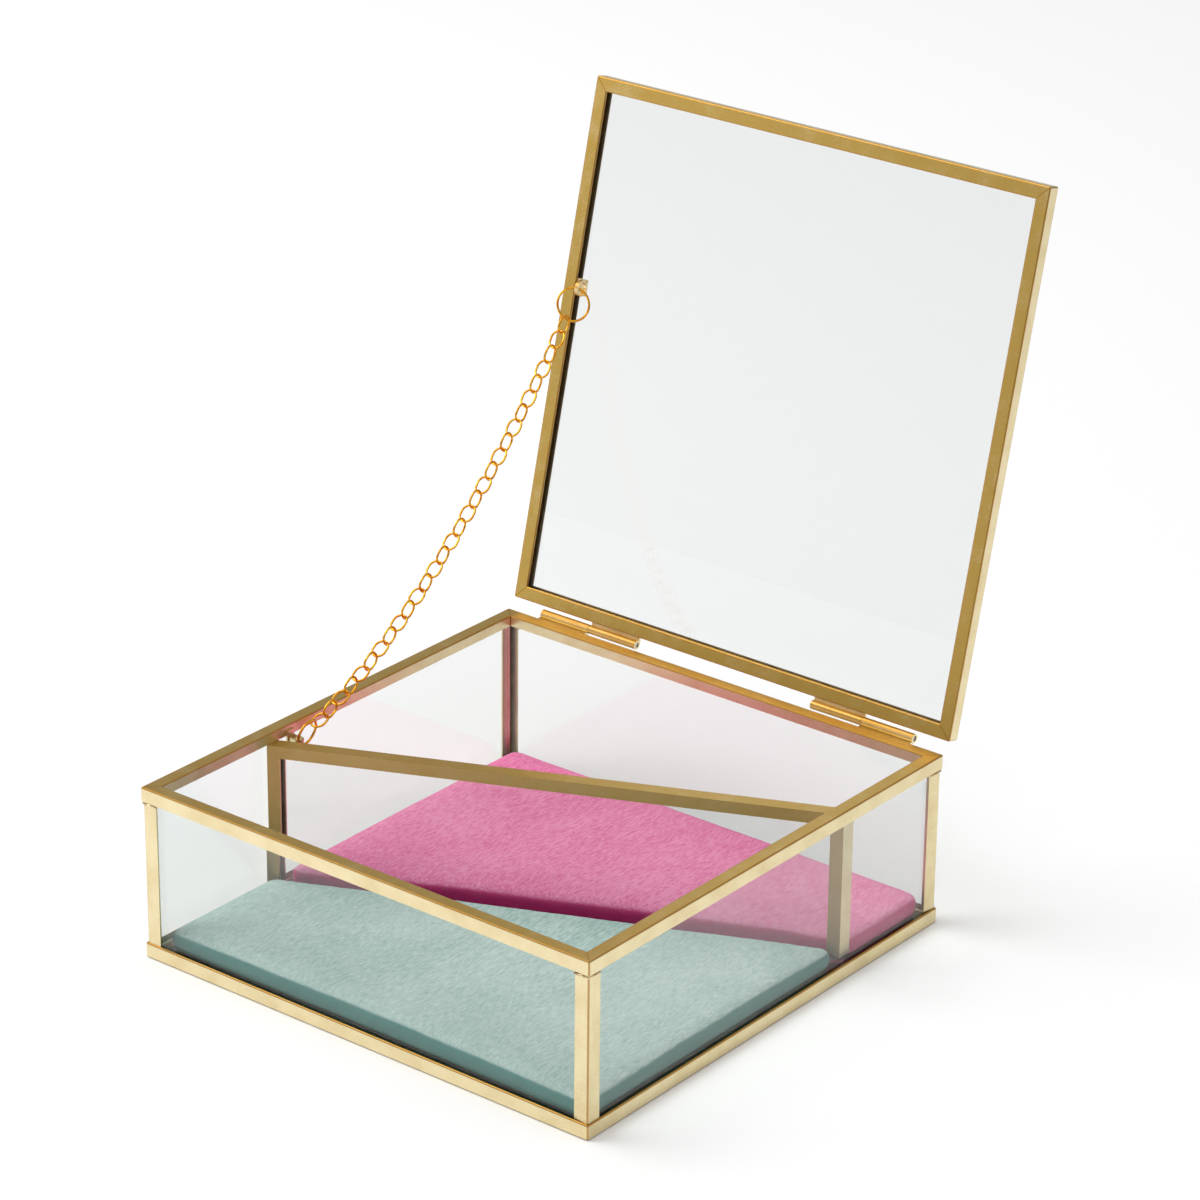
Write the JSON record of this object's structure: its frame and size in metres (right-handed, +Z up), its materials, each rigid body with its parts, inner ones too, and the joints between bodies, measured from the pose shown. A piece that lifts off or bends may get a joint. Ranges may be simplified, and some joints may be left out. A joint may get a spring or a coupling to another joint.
{
  "type": "jewelry box",
  "caption": "Square clear glass jewelry box with brass trim, a chain-stayed hinged lid, a slanting glass divider and mint and pink velvet cushions.",
  "frame": {"origin": "Centre of the square underside, on the plane that the felt rests on.", "axes": "+X to the right, +Y to the back where the hinges are, +Z up. The front and rear panes are normal to Y."},
  "size_m": [0.15, 0.192, 0.1983],
  "materials": {
    "trim": "satin, pale champagne gold",
    "chain": "polished gold",
    "steel": "plain wire",
    "glass": "clear",
    "felt": "black felt",
    "mint": "short-pile velvet, mint",
    "pink": "short-pile velvet, pink",
    "card": "grey board"
  },
  "bodies": {
    "box": {"base_felt": "felt", "base_rim": "trim", "top_rim": "trim", "pane_bottom": "glass", "pane_front": "glass", "pane_rear": "glass", "pane_left": "glass", "pane_right": "glass", "post_front_right": "trim", "post_rear_right": "trim", "post_rear_left": "trim", "post_front_left": "trim", "divider_frame": "trim", "divider_pane": "glass", "front_board": "card", "front_cushion": "mint", "rear_board": "card", "rear_cushion": "pink", "hinge_left_box_tube": "trim", "hinge_left_pin": "steel", "hinge_right_box_tube": "trim", "hinge_right_pin": "steel", "box_eye": "trim"},
    "lid": {"lid_frame": "trim", "lid_pane": "glass", "lid_eye": "trim", "hinge_left_lid_tube": "trim", "hinge_right_lid_tube": "trim"},
    "chain_00": {"ring_box": "chain"},
    "chain_01": {"chain_link_30": "chain", "chain_link_29": "chain"},
    "chain_02": {"chain_link_28": "chain", "chain_link_27": "chain"},
    "chain_03": {"chain_link_26": "chain", "chain_link_25": "chain"},
    "chain_04": {"chain_link_24": "chain", "chain_link_23": "chain"},
    "chain_05": {"chain_link_22": "chain", "chain_link_21": "chain"},
    "chain_06": {"chain_link_20": "chain", "chain_link_19": "chain"},
    "chain_07": {"chain_link_18": "chain", "chain_link_17": "chain"},
    "chain_08": {"chain_link_16": "chain", "chain_link_15": "chain"},
    "chain_09": {"chain_link_14": "chain", "chain_link_13": "chain"},
    "chain_10": {"chain_link_12": "chain", "chain_link_11": "chain"},
    "chain_11": {"chain_link_10": "chain", "chain_link_09": "chain"},
    "chain_12": {"chain_link_08": "chain", "chain_link_07": "chain"},
    "chain_13": {"chain_link_06": "chain", "chain_link_05": "chain"},
    "chain_14": {"chain_link_04": "chain", "chain_link_03": "chain"},
    "chain_15": {"chain_link_02": "chain", "chain_link_01": "chain"},
    "chain_top_ring": {"ring_lid": "chain"}
  },
  "joints": [
    {"name": "lid_hinge", "type": "hinge", "parent": "box", "child": "lid", "pos_m": [0, 0.0772, 0.05055], "axis": [1, 0, 0], "range_deg": [0, 103.8]},
    {"name": "chain_hinge_00", "type": "hinge", "parent": "box", "child": "chain_00", "pos_m": [-0.068, -0.0207, 0.046], "axis": [1, 0, 0], "range_deg": [-56.17, 0]},
    {"name": "chain_hinge_01", "type": "hinge", "parent": "chain_00", "child": "chain_01", "pos_m": [-0.068, -0.01489, 0.04811], "axis": [1, 0, 0], "range_deg": [-46.26, 0]},
    {"name": "chain_hinge_02", "type": "hinge", "parent": "chain_01", "child": "chain_02", "pos_m": [-0.068, -0.0069, 0.05135], "axis": [1, 0, 0], "range_deg": [0, 5.76]},
    {"name": "chain_hinge_03", "type": "hinge", "parent": "chain_02", "child": "chain_03", "pos_m": [-0.068, 0.00146, 0.05539], "axis": [1, 0, 0], "range_deg": [0, 24.21]},
    {"name": "chain_hinge_04", "type": "hinge", "parent": "chain_03", "child": "chain_04", "pos_m": [-0.068, 0.00958, 0.05991], "axis": [1, 0, 0], "range_deg": [0, 36.05]},
    {"name": "chain_hinge_05", "type": "hinge", "parent": "chain_04", "child": "chain_05", "pos_m": [-0.068, 0.01745, 0.06484], "axis": [1, 0, 0], "range_deg": [0, 34.81]},
    {"name": "chain_hinge_06", "type": "hinge", "parent": "chain_05", "child": "chain_06", "pos_m": [-0.068, 0.02509, 0.07011], "axis": [1, 0, 0], "range_deg": [0, 24.23]},
    {"name": "chain_hinge_07", "type": "hinge", "parent": "chain_06", "child": "chain_07", "pos_m": [-0.068, 0.03252, 0.07569], "axis": [1, 0, 0], "range_deg": [0, 11.31]},
    {"name": "chain_hinge_08", "type": "hinge", "parent": "chain_07", "child": "chain_08", "pos_m": [-0.068, 0.03975, 0.08152], "axis": [1, 0, 0], "range_deg": [0, 50.46]},
    {"name": "chain_hinge_09", "type": "hinge", "parent": "chain_08", "child": "chain_09", "pos_m": [-0.068, 0.04679, 0.08758], "axis": [1, 0, 0], "range_deg": [0, 53.38]},
    {"name": "chain_hinge_10", "type": "hinge", "parent": "chain_09", "child": "chain_10", "pos_m": [-0.068, 0.05365, 0.09384], "axis": [1, 0, 0], "range_deg": [0, 66.11]},
    {"name": "chain_hinge_11", "type": "hinge", "parent": "chain_10", "child": "chain_11", "pos_m": [-0.068, 0.06035, 0.10027], "axis": [1, 0, 0], "range_deg": [0, 68.37]},
    {"name": "chain_hinge_12", "type": "hinge", "parent": "chain_11", "child": "chain_12", "pos_m": [-0.068, 0.06691, 0.10685], "axis": [1, 0, 0], "range_deg": [-64.94, 0]},
    {"name": "chain_hinge_13", "type": "hinge", "parent": "chain_12", "child": "chain_13", "pos_m": [-0.068, 0.07332, 0.11357], "axis": [1, 0, 0], "range_deg": [-77.49, 0]},
    {"name": "chain_hinge_14", "type": "hinge", "parent": "chain_13", "child": "chain_14", "pos_m": [-0.068, 0.07959, 0.12042], "axis": [1, 0, 0], "range_deg": [-54.04, 0]},
    {"name": "chain_hinge_15", "type": "hinge", "parent": "chain_14", "child": "chain_15", "pos_m": [-0.068, 0.08575, 0.12737], "axis": [1, 0, 0], "range_deg": [-35.34, 0]},
    {"name": "chain_top_ring_hinge", "type": "hinge", "parent": "lid", "child": "chain_top_ring", "pos_m": [-0.068, 0.09788, 0.14165], "axis": [1, 0, 0], "range_deg": [-14.41, 0]}
  ],
  "couplings": [
    {"joint": "chain_hinge_00", "follows": "lid_hinge", "ratio": -0.54111},
    {"joint": "chain_hinge_01", "follows": "lid_hinge", "ratio": -0.44569},
    {"joint": "chain_hinge_02", "follows": "lid_hinge", "ratio": 0.055534},
    {"joint": "chain_hinge_03", "follows": "lid_hinge", "ratio": 0.2332},
    {"joint": "chain_hinge_04", "follows": "lid_hinge", "ratio": 0.34729},
    {"joint": "chain_hinge_05", "follows": "lid_hinge", "ratio": 0.33534},
    {"joint": "chain_hinge_06", "follows": "lid_hinge", "ratio": 0.23341},
    {"joint": "chain_hinge_07", "follows": "lid_hinge", "ratio": 0.10894},
    {"joint": "chain_hinge_08", "follows": "lid_hinge", "ratio": 0.48617},
    {"joint": "chain_hinge_09", "follows": "lid_hinge", "ratio": 0.5143},
    {"joint": "chain_hinge_10", "follows": "lid_hinge", "ratio": 0.63693},
    {"joint": "chain_hinge_11", "follows": "lid_hinge", "ratio": 0.65864},
    {"joint": "chain_hinge_12", "follows": "lid_hinge", "ratio": -0.62559},
    {"joint": "chain_hinge_13", "follows": "lid_hinge", "ratio": -0.74652},
    {"joint": "chain_hinge_14", "follows": "lid_hinge", "ratio": -0.52063},
    {"joint": "chain_hinge_15", "follows": "lid_hinge", "ratio": -0.34045},
    {"joint": "chain_top_ring_hinge", "follows": "lid_hinge", "ratio": -0.13881}
  ]
}
